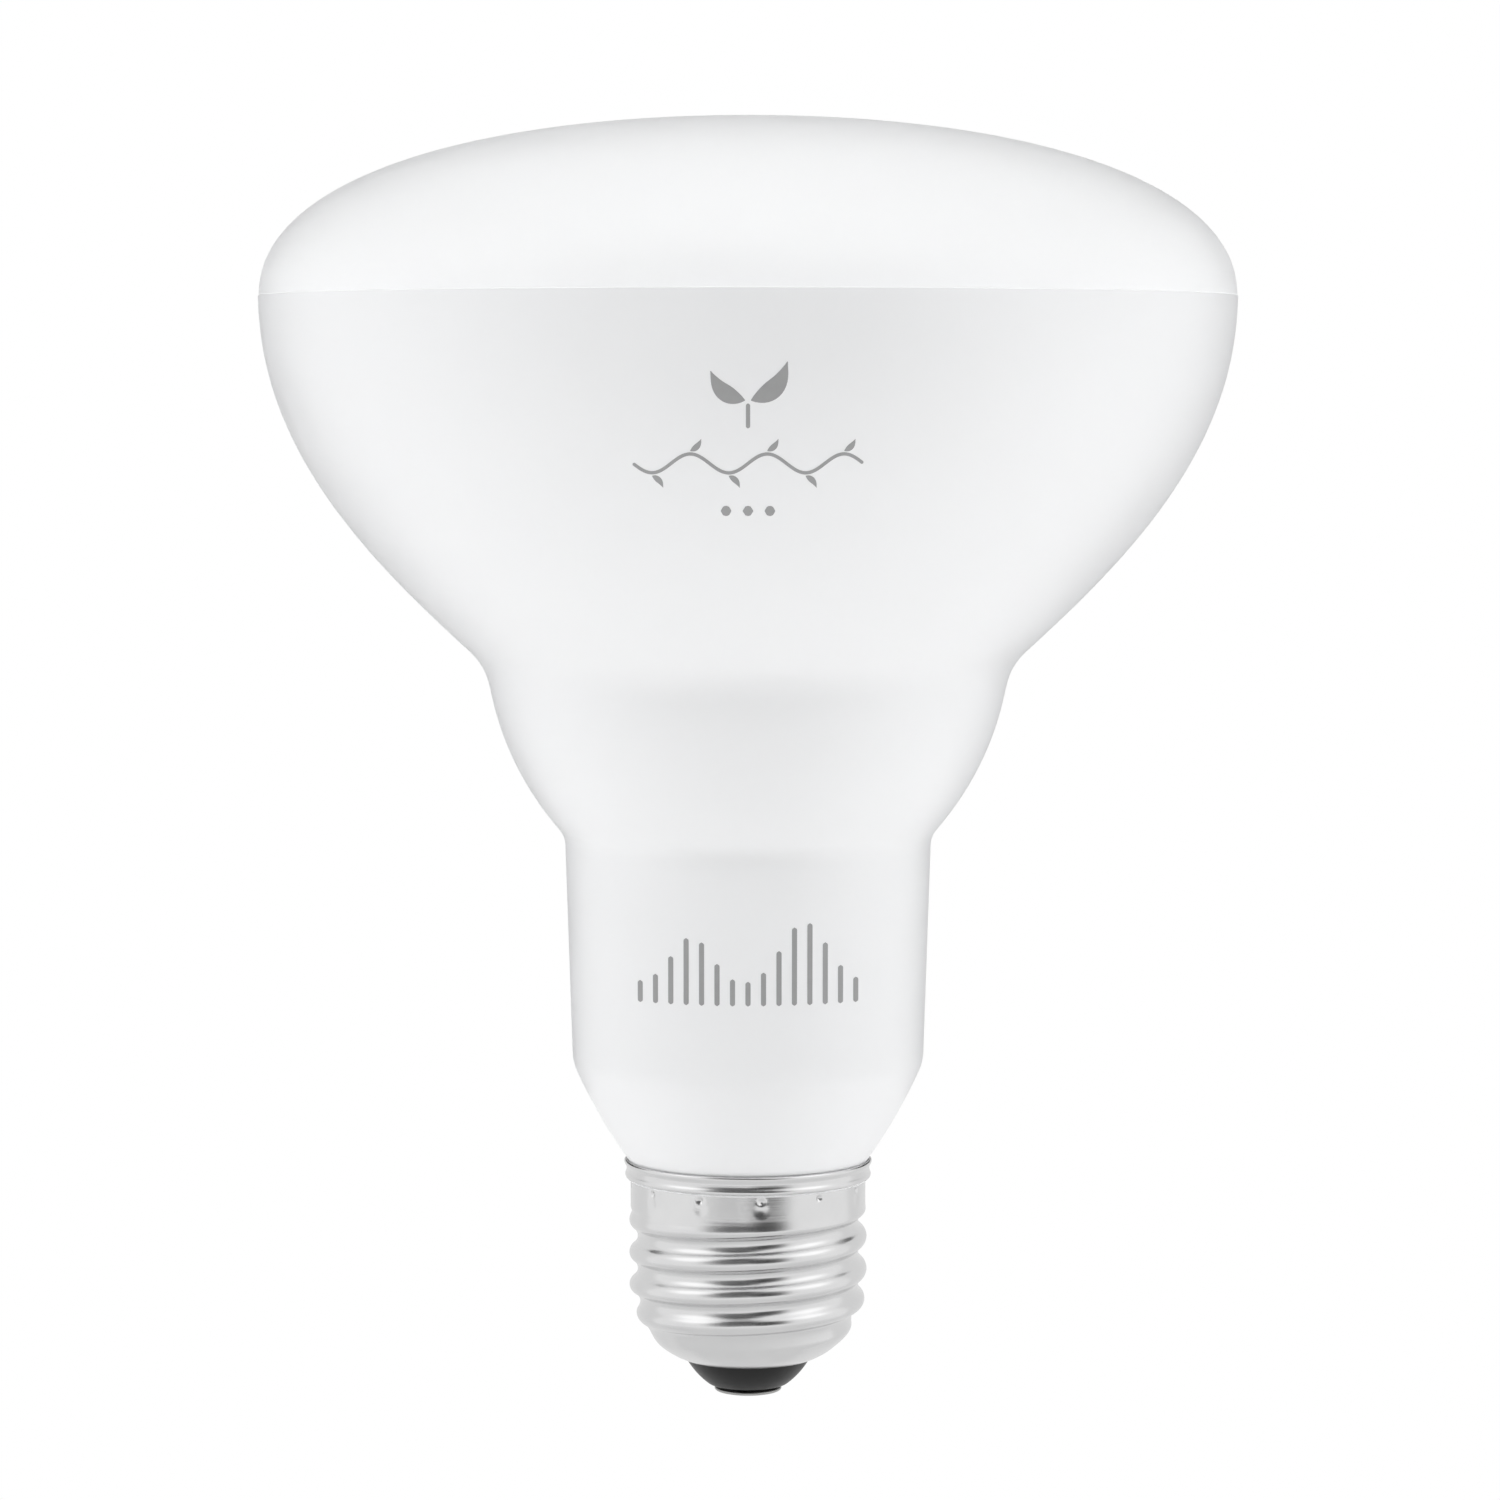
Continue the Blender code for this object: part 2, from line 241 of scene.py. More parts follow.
# The other cards: name, place, target, width and height, grey and opacity
CARDS = (
    ("flag_back", (0, 0.35, 0.2), (0, 0, 0.2), (0.5, 0.36), 0.1, 1.0),
    ("dark_card", (-0.2, -0.88, 0.6), (0, 0, 0.6), (1.4, 2.6), 0.2, 1.0),
    ("low_card_left", (-0.2, -0.5, LOW_CARD_HEIGHT), (-0.2, -0.5, 1), (0.5, 0.6), 0.5, 0.4),
    ("low_card_right", (0.18, -0.5, LOW_CARD_HEIGHT), (0.18, -0.5, 1), (0.45, 0.5), 0.0, 0.6),
    ("standing_card", (0.17, -0.47, 0.1), (0, 0, 0.1), (0.44, 0.8), 0.0, 0.9),
)


def arc(start, end, radius, steps):
    """Points after start up to end, on an arc that bulges away from the axis."""
    (r0, z0), (r1, z1) = start, end
    chord = math.hypot(r1 - r0, z1 - z0)
    depth = math.sqrt(radius**2 - chord**2 / 4)
    inward = ((z1 - z0) / chord, (r0 - r1) / chord)
    centre_r = (r0 + r1) / 2 + inward[0] * depth
    centre_z = (z0 + z1) / 2 + inward[1] * depth
    first = math.atan2(z0 - centre_z, r0 - centre_r)
    last = math.atan2(z1 - centre_z, r1 - centre_r)
    angles = [first + (last - first) * i / steps for i in range(1, steps + 1)]
    return [(centre_r + radius * math.cos(a), centre_z + radius * math.sin(a)) for a in angles]


def cubic(start, leave, arrive, end, steps):
    """Points after start up to end, on the cubic curve with these two handles."""
    points = []
    for i in range(1, steps + 1):
        t = i / steps
        weights = ((1 - t) ** 3, 3 * t * (1 - t) ** 2, 3 * t**2 * (1 - t), t**3)
        corners = (start, leave, arrive, end)
        points.append(tuple(sum(w * c[k] for w, c in zip(weights, corners)) for k in (0, 1)))
    return points


def smooth_step(value):
    """0 below 0, 1 above 1, and a soft ramp between."""
    t = min(max(value, 0.0), 1.0)
    return t * t * (3 - 2 * t)


def bump(distance, reach):
    """1 at no distance, falling softly to 0 at the reach."""
    return math.cos(math.pi / 2 * min(abs(distance) / reach, 1.0)) ** 2


def resample(points, step):
    """The same line with points at equal steps along it."""
    lengths = [math.dist(a, b) for a, b in zip(points, points[1:])]
    total = sum(lengths)
    count = math.ceil(total / step)
    out = []
    i = 0
    passed = 0.0
    for k in range(count + 1):
        target = total * k / count
        while i < len(lengths) - 1 and passed + lengths[i] < target:
            passed += lengths[i]
            i += 1
        share = (target - passed) / lengths[i]
        (ax, ay), (bx, by) = points[i], points[i + 1]
        out.append((ax + (bx - ax) * share, ay + (by - ay) * share))
    return out


def thin(points, tolerance):
    """Drops the points that lie on a straight line between those kept."""
    (ax, ay), (bx, by) = points[0], points[-1]
    chord = math.hypot(bx - ax, by - ay)
    worst, at = 0.0, 0
    for i, (x, y) in enumerate(points[1:-1], 1):
        off = abs((bx - ax) * (ay - y) - (ax - x) * (by - ay)) / chord
        if off > worst:
            worst, at = off, i
    if worst < tolerance:
        return [points[0], points[-1]]
    return thin(points[: at + 1], tolerance)[:-1] + thin(points[at:], tolerance)


def soften(points, reach):
    """Rounds a line's corners over this reach, with its ends kept."""
    step = reach / 8
    fine = resample(points, step)
    half = round(reach / step)
    out = []
    for i in range(len(fine)):
        span = min(half, i, len(fine) - 1 - i)
        near = fine[i - span : i + span + 1]
        out.append((sum(p[0] for p in near) / len(near), sum(p[1] for p in near) / len(near)))
    return thin(out, THIN_TOLERANCE)


def add_object(name, bm, sharp_angle=40):
    """An object of this bmesh, smooth but for the edges sharper than the angle in degrees."""
    bmesh.ops.recalc_face_normals(bm, faces=bm.faces)
    mesh = bpy.data.meshes.new(name)
    bm.to_mesh(mesh)
    bm.free()
    mesh.shade_smooth()
    mesh.set_sharp_from_angle(angle=math.radians(sharp_angle))
    obj = bpy.data.objects.new(name, mesh)
    bpy.context.scene.collection.objects.link(obj)
    return obj


def bridge(bm, upper, lower):
    """Faces between two rings of the same count."""
    for i in range(len(upper)):
        j = (i + 1) % len(upper)
        bm.faces.new((upper[i], lower[i], lower[j], upper[j]))


def turn(name, outline, segments):
    """A solid of revolution, from the axis at the top of the outline to the axis at its bottom."""
    bm = bmesh.new()
    angles = [2 * math.pi * i / segments for i in range(segments)]
    rings = []
    for r, z in outline[1:-1]:
        rings.append([bm.verts.new((r * math.cos(a), r * math.sin(a), z)) for a in angles])
    for upper, lower in zip(rings, rings[1:]):
        bridge(bm, upper, lower)
    for ring, (_, z) in ((rings[0], outline[0]), (rings[-1], outline[-1])):
        tip = bm.verts.new((0, 0, z))
        for i in range(segments):
            bm.faces.new((tip, ring[i], ring[(i + 1) % segments]))
    return add_object(name, bm)


def dome_outline():
    """The dome from its crown to the seam, then in to the plug that seats in the rebate."""
    edge_radius = BODY_RADIUS - DOME_STEP
    edge = (edge_radius, SEAM + SEAM_ROUNDING)
    crown = (0, CROWN)
    leave = (DOME_CROWN_REACH, CROWN)
    arrive = (edge_radius, SEAM + DOME_SHOULDER_REACH)
    plug_radius = BODY_RADIUS - RIM_WALL - FIT_GAP
    plug_bottom = RIM - REBATE_DEPTH + FIT_GAP
    outline = [crown, *cubic(crown, leave, arrive, edge, DOME_STEPS)]
    outline += [(edge_radius - SEAM_ROUNDING, SEAM), (plug_radius, SEAM)]
    return outline + [(plug_radius, plug_bottom), (0, plug_bottom)]


def housing_side():
    """The housing's outer line, from the rim down to the mouth of the screw shell."""
    rim = (BODY_RADIUS, RIM - SEAM_ROUNDING)
    bulge_top = (BULGE_UPPER_RADIUS, BULGE_TOP)
    neck_top = (NECK_UPPER_RADIUS, NECK_TOP)
    neck_bottom = (NECK_LOWER_RADIUS, NECK_BOTTOM)
    mouth = (lip_radius(LIP_TOP) - SHELL_WALL - MOUTH_CLEARANCE, LIP_TOP)
    leave = (BODY_RADIUS, RIM - REFLECTOR_UPPER_REACH)
    arrive = (
        BULGE_UPPER_RADIUS + REFLECTOR_LOWER_REACH * math.sin(REFLECTOR_ANGLE),
        BULGE_TOP + REFLECTOR_LOWER_REACH * math.cos(REFLECTOR_ANGLE),
    )
    side = [rim, *cubic(rim, leave, arrive, bulge_top, REFLECTOR_STEPS)]
    side += arc(bulge_top, neck_top, BULGE_CURVE_RADIUS, BULGE_STEPS)
    side = soften(side, BULGE_SOFTNESS)
    side += [neck_bottom, *arc(neck_bottom, mouth, TAPER_CURVE_RADIUS, TAPER_STEPS)]
    return soften(side, CORNER_SOFTNESS)


def housing_outline():
    """The housing from the floor of its rebate, over the rim and down its side to the collar's foot."""
    rebate_radius = BODY_RADIUS - RIM_WALL
    side = housing_side()
    mouth_radius = side[-1][0]
    outline = [(0, RIM - REBATE_DEPTH), (rebate_radius, RIM - REBATE_DEPTH), (rebate_radius, RIM)]
    outline += [(BODY_RADIUS - SEAM_ROUNDING, RIM), *side]
    return outline + [(mouth_radius, LIP_FOOT), (0, LIP_FOOT)]


def lip_radius(z):
    """Outer radius of the lip: the band, the bead on either side of it and the foot below."""
    top_bead = TOP_BEAD_RISE * bump(z - LIP_TOP + TOP_BEAD_WIDTH / 3, TOP_BEAD_WIDTH)
    lower_bead = LOWER_BEAD_RISE * bump(z - LIP_FOOT - LOWER_BEAD_WIDTH, LOWER_BEAD_WIDTH)
    foot = BAND_STEP * smooth_step((z - LIP_FOOT) / (LOWER_BEAD_WIDTH / 2))
    return SKIRT_RADIUS + foot + top_bead + lower_bead


def wall_radius(z):
    """Outer radius of the straight part of the shell, before the thread is rolled in."""
    if z >= LIP_FOOT:
        return lip_radius(z)
    widening = smooth_step((THREAD_TOP + THREAD_RUN_IN / 2 - z) / THREAD_RUN_IN)
    return SKIRT_RADIUS + SKIRT_STEP * widening


def thread_groove(angle, z):
    """Depth of the rolled groove, whose root and crest are equal arcs."""
    turns = (THREAD_TOP - z) / THREAD_PITCH + (angle - THREAD_START) / (2 * math.pi)
    from_root = abs((turns + 0.5) % 1 - 0.5) * THREAD_PITCH
    if from_root < THREAD_PITCH / 4:
        depth = THREAD_DEPTH - THREAD_ARC_RADIUS + math.sqrt(THREAD_ARC_RADIUS**2 - from_root**2)
    else:
        from_crest = THREAD_PITCH / 2 - from_root
        depth = THREAD_ARC_RADIUS - math.sqrt(THREAD_ARC_RADIUS**2 - from_crest**2)
    run_in = smooth_step((THREAD_TOP + THREAD_RUN_IN / 3 - z) / THREAD_RUN_IN)
    fade = smooth_step((z - BEND_HEIGHT + THREAD_END_DROP) / THREAD_FADE)
    return depth * run_in * fade


def stake_dent(angle, z):
    """Depth of the nearest stake dent at this place on the skirt."""
    spacing = 2 * math.pi / STAKE_COUNT
    offset = (angle - STAKE_PHASE + math.pi / 2 + spacing / 2) % spacing - spacing / 2
    across = offset * SKIRT_RADIUS
    punch = math.hypot(across, z - STAKE_HEIGHT)
    hollow = math.hypot(across, z - STAKE_HEIGHT + HOLLOW_DROP)
    return PUNCH_DEPTH * bump(punch, PUNCH_RADIUS) + HOLLOW_DEPTH * bump(hollow, HOLLOW_RADIUS)


def shell_angles():
    """Angles round the shell, closer together across each dent."""
    spacing = 2 * math.pi / STAKE_COUNT
    near = STAKE_REACH / SKIRT_RADIUS
    steps = [near * (i / DENT_STEPS - 1) for i in range(2 * DENT_STEPS + 1)]
    wide = (spacing - 2 * near) / BETWEEN_DENTS_STEPS
    steps += [near + wide * i for i in range(1, BETWEEN_DENTS_STEPS)]
    first = STAKE_PHASE - math.pi / 2
    return [first + spacing * dent + step for dent in range(STAKE_COUNT) for step in steps]


def add_screw_shell():
    """The outer face row by row, the rounded edges, and a plain inner face."""
    bm = bmesh.new()
    angles = shell_angles()
    rings = []

    def ring(place):
        rings.append([bm.verts.new(place(angle)) for angle in angles])

    def turned(r, z):
        ring(lambda angle: (r * math.cos(angle), r * math.sin(angle), z))

    def on_wall(z):
        def place(angle):
            r = wall_radius(z) - thread_groove(angle, z) - stake_dent(angle, z)
            return (r * math.cos(angle), r * math.sin(angle), z)

        ring(place)

    def on_bend(turned_in):
        def place(angle):
            z = BEND_HEIGHT - SHELL_BEND_RADIUS * math.sin(turned_in)
            bend = SHELL_BEND_RADIUS - thread_groove(angle, z)
            r = BEND_CENTRE_RADIUS + bend * math.cos(turned_in)
            return (r * math.cos(angle), r * math.sin(angle), BEND_HEIGHT - bend * math.sin(turned_in))

        ring(place)

    edge = SHELL_WALL / 2
    inner_top = lip_radius(LIP_TOP) - SHELL_WALL
    inner_radius = CREST_RADIUS - THREAD_DEPTH - SHELL_WALL
    land = SKIRT_RADIUS - PUNCH_DEPTH - SHELL_WALL
    turned(inner_top, LIP_TOP - edge)
    for i in range(1, LIP_EDGE_STEPS):
        lean = math.pi * i / LIP_EDGE_STEPS
        turned(inner_top + edge * (1 - math.cos(lean)), LIP_TOP - edge + edge * math.sin(lean))
    rows = math.ceil((LIP_TOP - edge - BEND_HEIGHT) / ROW_STEP)
    for i in range(rows + 1):
        on_wall(LIP_TOP - edge + (BEND_HEIGHT - LIP_TOP + edge) * i / rows)
    rows = math.ceil(BEND_ANGLE * SHELL_BEND_RADIUS / BEND_STEP)
    for i in range(1, rows + 1):
        on_bend(BEND_ANGLE * i / rows)
    inner_reach = SHELL_BEND_RADIUS - SHELL_WALL
    for turned_in in (BEND_ANGLE, BEND_ANGLE * 0.7, BEND_ANGLE * 0.4):
        reach = inner_reach if turned_in == BEND_ANGLE else inner_radius - BEND_CENTRE_RADIUS
        r = BEND_CENTRE_RADIUS + reach * math.cos(turned_in)
        turned(r, BEND_HEIGHT - reach * math.sin(turned_in))
    turned(inner_radius, BEND_HEIGHT)
    turned(inner_radius, THREAD_TOP)
    turned(land, STAKE_HEIGHT - HOLLOW_DROP)
    turned(land, LIP_FOOT)
    turned(inner_top, LIP_FOOT + LOWER_BEAD_WIDTH)
    for upper, lower in zip(rings, rings[1:] + rings[:1]):
        bridge(bm, upper, lower)
    return add_object("shell_fine", bm)


def contact_outline():
    """The contact from the top of its stem down to its slightly domed face."""
    head_top = CONTACT_DOME_RISE + CONTACT_EDGE
    edge = (CONTACT_RADIUS, CONTACT_DOME_RISE)
    stem_top = INSULATOR_BOTTOM + CONTACT_RADIUS
    side = [(CONTACT_STEM_RADIUS, head_top), (CONTACT_RADIUS, head_top), edge]
    side += arc(edge, (CONTACT_FLAT_RADIUS, 0), CONTACT_CURVE_RADIUS, CONTACT_STEPS)
    side = soften(side, CONTACT_SOFTNESS)
    return [(0, stem_top), (CONTACT_STEM_RADIUS, stem_top), *side, (0, 0)]


def insulator_outline():
    """The insulator from its top in the shell's hole down to the tip round the contact."""
    throat = SHELL_HOLE_RADIUS - FIT_GAP
    bore = CONTACT_STEM_RADIUS + FIT_GAP
    top = SHELL_BOTTOM + 2 * FIT_GAP
    dome_top = (throat, SHELL_BOTTOM)
    tip = (CONTACT_RADIUS + INSULATOR_TIP_MARGIN, INSULATOR_BOTTOM)
    curve = arc(dome_top, tip, INSULATOR_CURVE_RADIUS, INSULATOR_STEPS)
    side = [dome_top, *curve, (bore, INSULATOR_BOTTOM)]
    outline = [(0, top), (throat, top), *soften(side, INSULATOR_SOFTNESS)]
    return outline + [(0, INSULATOR_BOTTOM + 2 * FIT_GAP)]


def front_of_housing(side, x, z, rise):
    """The point at x and z on the front of the housing with this outer line, raised by this much."""
    r = np.interp(z, side[:, 1], side[:, 0]) + rise
    return (x, -math.sqrt(r * r - x * x), z)


def line(points, half_width):
    """A stroke of even width with rounded ends, as points and half widths."""
    spine = resample(points, half_width / 2)
    step = math.dist(spine[0], spine[1])
    half_widths = []
    for i in range(len(spine)):
        from_end = min(i, len(spine) - 1 - i) * step
        short = max(1 - from_end / half_width, 0)
        half_widths.append(half_width * max(math.sqrt(1 - short * short), 0.1))
    return spine, half_widths


def leaf(base, tip, half_width, sag):
    """A pointed leaf whose middle sags to one side of the line from base to tip."""
    (bx, bz), (tx, tz) = base, tip
    spine = []
    half_widths = []
    for i in range(LEAF_STEPS + 1):
        t = i / LEAF_STEPS
        side = sag * math.sin(math.pi * t)
        spine.append((bx + (tx - bx) * t - (tz - bz) * side, bz + (tz - bz) * t + (tx - bx) * side))
        half_widths.append(half_width * max(math.sin(math.pi * t**0.8), 0.04))
    return spine, half_widths


def add_print(name, strokes, material):
    """Thin slabs of ink on the housing, one along each stroke."""
    bm = bmesh.new()
    side = np.array(housing_side()[::-1])
    for spine, half_widths in strokes:
        layers = {PRINT_RISE: [], -PRINT_SINK: []}
        for i, (x, z) in enumerate(spine):
            before = spine[max(i - 1, 0)]
            after = spine[min(i + 1, len(spine) - 1)]
            length = math.dist(before, after)
            across = ((before[1] - after[1]) / length, (after[0] - before[0]) / length)
            for rise, rows in layers.items():
                offsets = [half_widths[i] * k / 2 for k in range(-2, 3)]
                places = [(x + across[0] * o, z + across[1] * o) for o in offsets]
                rows.append([bm.verts.new(front_of_housing(side, *place, rise)) for place in places])
        top, bottom = layers.values()
        for rows in (top, bottom):
            for row, following in zip(rows, rows[1:]):
                for k in range(4):
                    bm.faces.new((row[k], row[k + 1], following[k + 1], following[k]))
        for k in (0, 4):
            for i in range(len(spine) - 1):
                bm.faces.new((top[i][k], top[i + 1][k], bottom[i + 1][k], bottom[i][k]))
        for i in (0, -1):
            for k in range(4):
                bm.faces.new((top[i][k], top[i][k + 1], bottom[i][k + 1], bottom[i][k]))
    piece = add_object(name, bm)
    piece.data.materials.append(material)
    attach(piece, "root")


def sprout():
    """A stem with a pair of leaves."""
    fork = SPROUT_FOOT + SPROUT_FORK_SHARE * SPROUT_HEIGHT
    stem = line([(0, SPROUT_FOOT), (0, fork - SPROUT_GAP)], PRINT_LINE)
    left_tip = (-LEFT_LEAF_REACH, SPROUT_FOOT + LEFT_LEAF_SHARE * SPROUT_HEIGHT)
    right_tip = (RIGHT_LEAF_REACH, SPROUT_FOOT + SPROUT_HEIGHT)
    left = leaf((-SPROUT_GAP, fork), left_tip, LEFT_LEAF_HALF, SPROUT_LEAF_SAG)
    right = leaf((SPROUT_GAP, fork), right_tip, RIGHT_LEAF_HALF, -SPROUT_LEAF_SAG)
    return [stem, left, right]


def vine():
    """A waving stem with a leaf outside each turn, and three dots below it."""
    def wave(x):
        return VINE_HEIGHT + VINE_WAVE * math.sin(math.pi * VINE_WAVES * x / VINE_HALF)

    columns = [VINE_HALF * (2 * i / WAVE_STEPS - 1) for i in range(WAVE_STEPS + 1)]
    strokes = [line([(x, wave(x)) for x in columns], VINE_LINE)]
    for i in range(2 * VINE_WAVES):
        x = VINE_HALF * ((i + 0.5) / VINE_WAVES - 1)
        out = 1 if wave(x) > VINE_HEIGHT else -1
        base = (x, wave(x) + out * VINE_LEAF_GAP)
        tip = (x + VINE_LEAF_REACH, base[1] + out * VINE_LEAF_RISE)
        strokes.append(leaf(base, tip, VINE_LEAF_HALF, -VINE_LEAF_SAG * out))
    for i in (-1, 0, 1):
        middle = i * DOT_SPACING
        ends = [(middle - DOT_RADIUS, DOT_HEIGHT), (middle + DOT_RADIUS, DOT_HEIGHT)]
        strokes.append(line(ends, DOT_RADIUS))
    return strokes


def bars():
    """A row of upright bars whose heights rise in two humps."""
    strokes = []
    for i in range(BAR_COUNT):
        share = i / (BAR_COUNT - 1)
        x = BAR_SPACING * (i - (BAR_COUNT - 1) / 2)
        top = BARS_FOOT + BAR_LEAST
        for rise, middle, width in BAR_HUMPS:
            top += rise * math.exp(-(((share - middle) / width) ** 2))
        strokes.append(line([(x, BARS_FOOT), (x, top)], BAR_LINE))
    return strokes


def new_material(name):
    """A material and its node tree, with the shader and the object's own coordinates."""
    material = bpy.data.materials.new(name)
    material.use_nodes = True
    nodes = material.node_tree.nodes
    shader = nodes["Principled BSDF"]
    place = nodes.new("ShaderNodeTexCoord").outputs["Object"]
    return material, material.node_tree, shader, place


def scaled(tree, vector, scale):
    """The coordinates times this scale."""
    node = tree.nodes.new("ShaderNodeMapping")
    node.inputs["Scale"].default_value = scale
    tree.links.new(vector, node.inputs["Vector"])
    return node.outputs["Vector"]


def noise(tree, vector, scale, detail):
    """The grey of a noise of this scale and detail."""
    node = tree.nodes.new("ShaderNodeTexNoise")
    node.inputs["Scale"].default_value = scale
    node.inputs["Detail"].default_value = detail
    tree.links.new(vector, node.inputs["Vector"])
    return node.outputs["Fac"]


def remap(tree, value, low, high, start=0.0, end=1.0):
    """Low to high, as the value goes from start to end."""
    node = tree.nodes.new("ShaderNodeMapRange")
    node.inputs["From Min"].default_value = start
    node.inputs["From Max"].default_value = end
    node.inputs["To Min"].default_value = low
    node.inputs["To Max"].default_value = high
    tree.links.new(value, node.inputs["Value"])
    return node.outputs["Result"]


def blend_colour(tree, factor, first, second):
    """The first colour at factor 0 and the second at 1."""
    node = tree.nodes.new("ShaderNodeMix")
    node.data_type = "RGBA"
    node.inputs["A"].default_value = (*first, 1)
    node.inputs["B"].default_value = (*second, 1)
    tree.links.new(factor, node.inputs["Factor"])
    return node.outputs["Result"]


def relief(tree, height, distance, under=None):
    """A normal bumped by this height times the distance, over the normal under it."""
    node = tree.nodes.new("ShaderNodeBump")
    node.inputs["Distance"].default_value = distance
    tree.links.new(height, node.inputs["Height"])
    if under is not None:
        tree.links.new(under, node.inputs["Normal"])
    return node.outputs["Normal"]


def mottle(tree, shader, place, dark, light, scale, detail):
    """Lets the colour wander between two tones, over a noise of this scale and detail."""
    colour = blend_colour(tree, noise(tree, place, scale, detail), dark, light)
    tree.links.new(colour, shader.inputs["Base Color"])


def vary_gloss(tree, shader, place, smooth, rough, scale, detail):
    """Lets the roughness wander between two values, over a noise of this scale and detail."""
    gloss = remap(tree, noise(tree, place, scale, detail), smooth, rough)
    tree.links.new(gloss, shader.inputs["Roughness"])


def housing_material():
    """Satin white moulding: a faint waviness, a fine skin and a slight change of gloss."""
    material, tree, shader, place = new_material("housing_white")
    mottle(tree, shader, place, (0.850, 0.852, 0.856), (0.872, 0.873, 0.876), scale=60, detail=3)
    vary_gloss(tree, shader, place, 0.29, 0.43, scale=140, detail=4)
    wavy = relief(tree, noise(tree, place, 45, 1), distance=0.00004)
    skin = relief(tree, noise(tree, place, 5000, 2), distance=0.000002, under=wavy)
    tree.links.new(skin, shader.inputs["Normal"])
    return material


def tray_material():
    """The whiter, matte tray that the dome covers."""
    material, tree, shader, place = new_material("tray_white")
    mottle(tree, shader, place, (0.97, 0.97, 0.97), (0.985, 0.985, 0.985), scale=80, detail=3)
    vary_gloss(tree, shader, place, 0.5, 0.7, scale=300, detail=3)
    return material


def dome_material():
    """Milky moulding that light scatters through, with a matte skin."""
    material, tree, shader, place = new_material("dome_milky")
    mottle(tree, shader, place, (0.950, 0.951, 0.953), (0.965, 0.966, 0.967), scale=40, detail=3)
    vary_gloss(tree, shader, place, 0.31, 0.47, scale=160, detail=4)
    shader.inputs["Subsurface Weight"].default_value = 1.0
    shader.inputs["Subsurface Radius"].default_value = (1.0, 1.0, 1.0)
    shader.inputs["Subsurface Scale"].default_value = 0.02
    skin = relief(tree, noise(tree, place, 4000, 2), distance=0.000003)
    tree.links.new(skin, shader.inputs["Normal"])
    return material


def shell_material():
    """Rolled aluminium, drawn faintly round the shell, with a few duller patches."""
    material, tree, shader, place = new_material("shell_aluminium")
    drawn = scaled(tree, place, (60, 60, 9000))
    streaks = noise(tree, drawn, 1.0, 3)
    mottle(tree, shader, place, (0.67, 0.67, 0.675), (0.75, 0.75, 0.75), scale=250, detail=3)
    shader.inputs["Metallic"].default_value = 1.0
    gloss = remap(tree, streaks, 0.17, 0.26)
    tree.links.new(gloss, shader.inputs["Roughness"])
    lines = relief(tree, streaks, distance=0.000004)
    dings = relief(tree, noise(tree, place, 420, 2), distance=0.00001, under=lines)
    tree.links.new(dings, shader.inputs["Normal"])
    return material


def ink_material():
    """Matte grey ink, mottled a little."""
    material, tree, shader, place = new_material("ink_grey")
    mottle(tree, shader, place, (0.31, 0.31, 0.31), (0.35, 0.35, 0.35), scale=900, detail=3)
    vary_gloss(tree, shader, place, 0.4, 0.6, scale=1500, detail=2)
    return material


def insulator_material():
    """Black moulding with a dull, slightly uneven skin."""
    material, tree, shader, place = new_material("insulator_black")
    mottle(tree, shader, place, (0.003, 0.003, 0.003), (0.006, 0.006, 0.006), scale=500, detail=3)
    vary_gloss(tree, shader, place, 0.28, 0.48, scale=900, detail=3)
    shader.inputs["Specular IOR Level"].default_value = 0.3
    grain = relief(tree, noise(tree, place, 1500, 2), distance=0.000008)
    tree.links.new(grain, shader.inputs["Normal"])
    return material


def contact_material():
    """Tinned metal with dull and bright patches and small dents."""
    material, tree, shader, place = new_material("contact_tinned")
    mottle(tree, shader, place, (0.36, 0.36, 0.355), (0.52, 0.52, 0.51), scale=900, detail=4)
    shader.inputs["Metallic"].default_value = 1.0
    vary_gloss(tree, shader, place, 0.28, 0.6, scale=1600, detail=3)
    dents = relief(tree, noise(tree, place, 1200, 3), distance=0.00002)
    tree.links.new(dents, shader.inputs["Normal"])
    return material


def stand_for(piece, node, material):
    """The fine mesh takes the place of a CAD node."""
    piece.data.materials.append(material)
    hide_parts(node)
    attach(piece, "root")


def line_tray(housing):
    """Gives the faces under the dome the tray's material."""
    housing.data.materials.append(tray_material())
    for face in housing.data.polygons:
        x, y, z = face.center
        inside = math.hypot(x, y) < BODY_RADIUS - RIM_WALL + SEAM_ROUNDING
        if inside and z > RIM - REBATE_DEPTH - SEAM_ROUNDING:
            face.material_index = 1


def add_camera():
    """The camera that took the photo."""
    camera = bpy.data.cameras.new("photo_view")
    camera.lens = CAMERA_LENS
    camera.sensor_width = CAMERA_SENSOR
    camera.shift_x = (FRAME_PIXELS / 2 - AXIS_COLUMN) / FRAME_PIXELS
    camera.clip_end = CAMERA_REACH
    obj = bpy.data.objects.new("photo_view", camera)
    obj.location = (0, -CAMERA_DISTANCE, CAMERA_HEIGHT)
    obj.rotation_euler = (math.pi / 2 - CAMERA_PITCH, 0, 0)
    bpy.context.scene.collection.objects.link(obj)
    bpy.context.scene.camera = obj


def aim(obj, target):
    """Turns the object's -Z axis to the target."""
    obj.rotation_euler = (Vector(target) - obj.location).to_track_quat("-Z", "Y").to_euler()


def add_softbox(name, place, width, watts):
    """A square lamp that reflections don't see."""
    light = bpy.data.lights.new(name, "AREA")
    light.size = width
    light.energy = watts
    light.color = SOFTBOX_TINT
    obj = bpy.data.objects.new(name, light)
    obj.location = place
    aim(obj, STUDIO_MIDDLE)
    obj.visible_glossy = False
    bpy.context.scene.collection.objects.link(obj)


